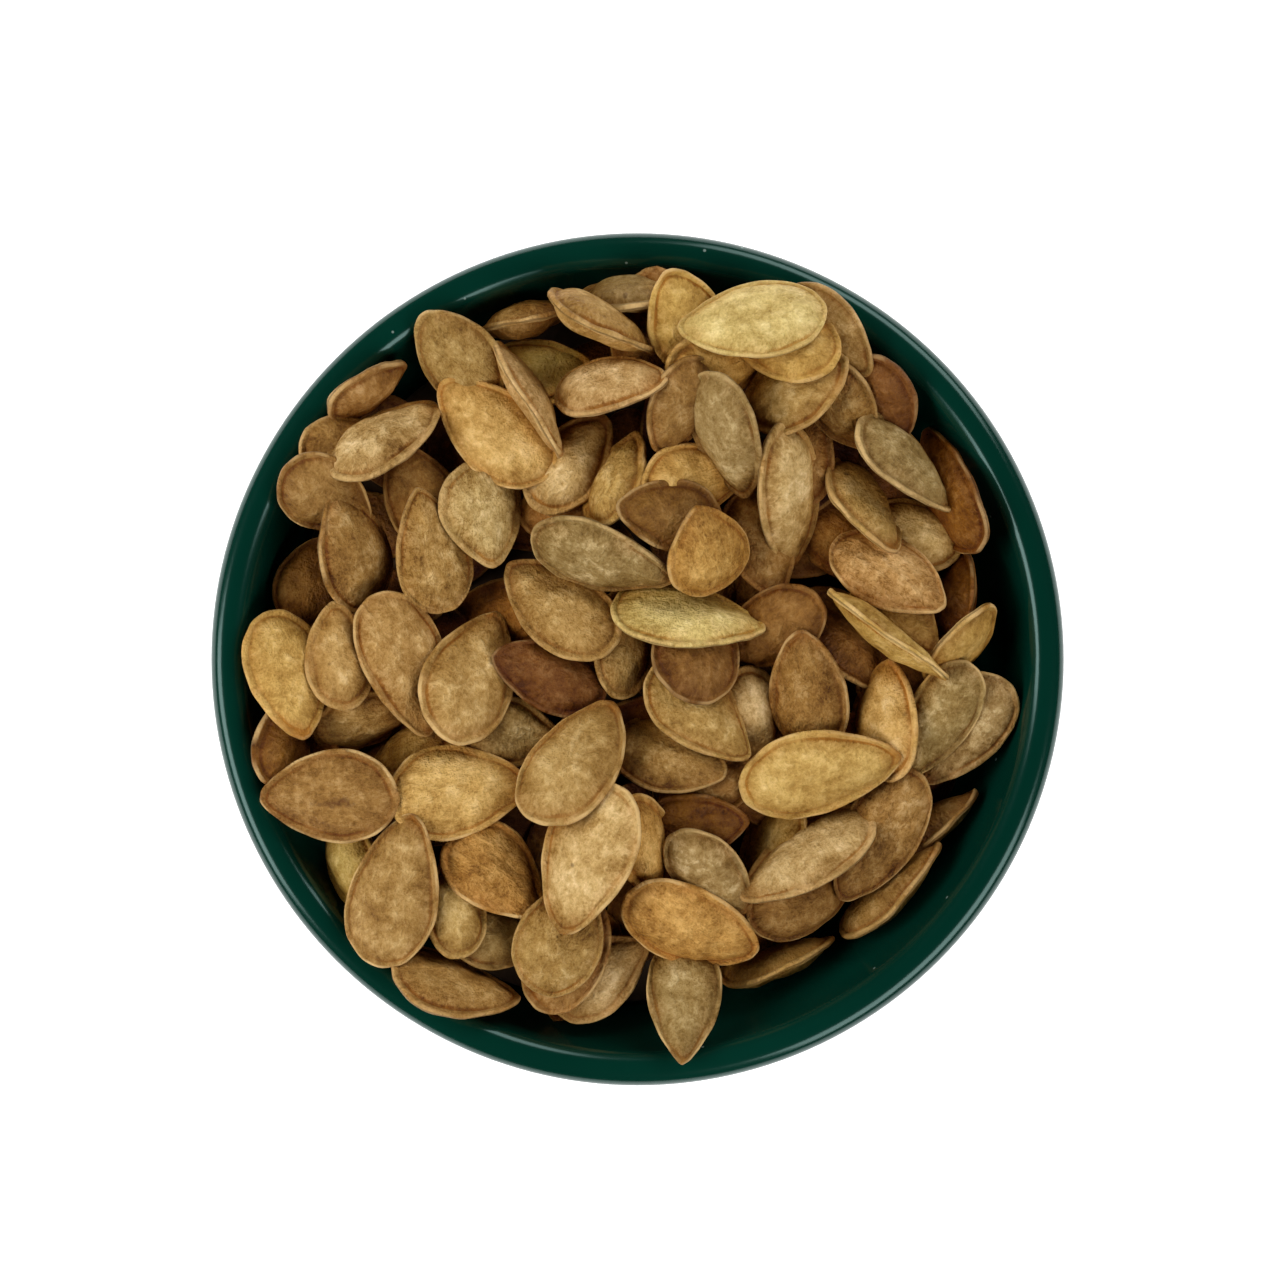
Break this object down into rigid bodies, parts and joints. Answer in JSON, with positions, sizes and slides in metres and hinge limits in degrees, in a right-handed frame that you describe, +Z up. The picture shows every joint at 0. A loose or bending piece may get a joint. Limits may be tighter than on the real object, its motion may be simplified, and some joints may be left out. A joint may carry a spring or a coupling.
{
  "type": "bowl of pumpkin seeds",
  "caption": "Small round glazed bowl heaped with roasted pumpkin seeds in their shells, served as a snack.",
  "frame": {"origin": "the bowl's axis where it meets the plane the foot stands on", "axes": "+Z up along the bowl's axis; seen from above, +X to the right and +Y away from the viewer"},
  "size_m": [0.1098, 0.1098, 0.0603],
  "materials": {
    "glaze": "very dark green, glossy glaze",
    "seed_shell": "dry, slightly fuzzy roasted shell in tan, golden and brown; wood stands in for dry seed husk"
  },
  "bodies": {
    "root": {"bowl": "glaze", "pumpkin_seeds": "seed_shell"}
  },
  "joints": []
}
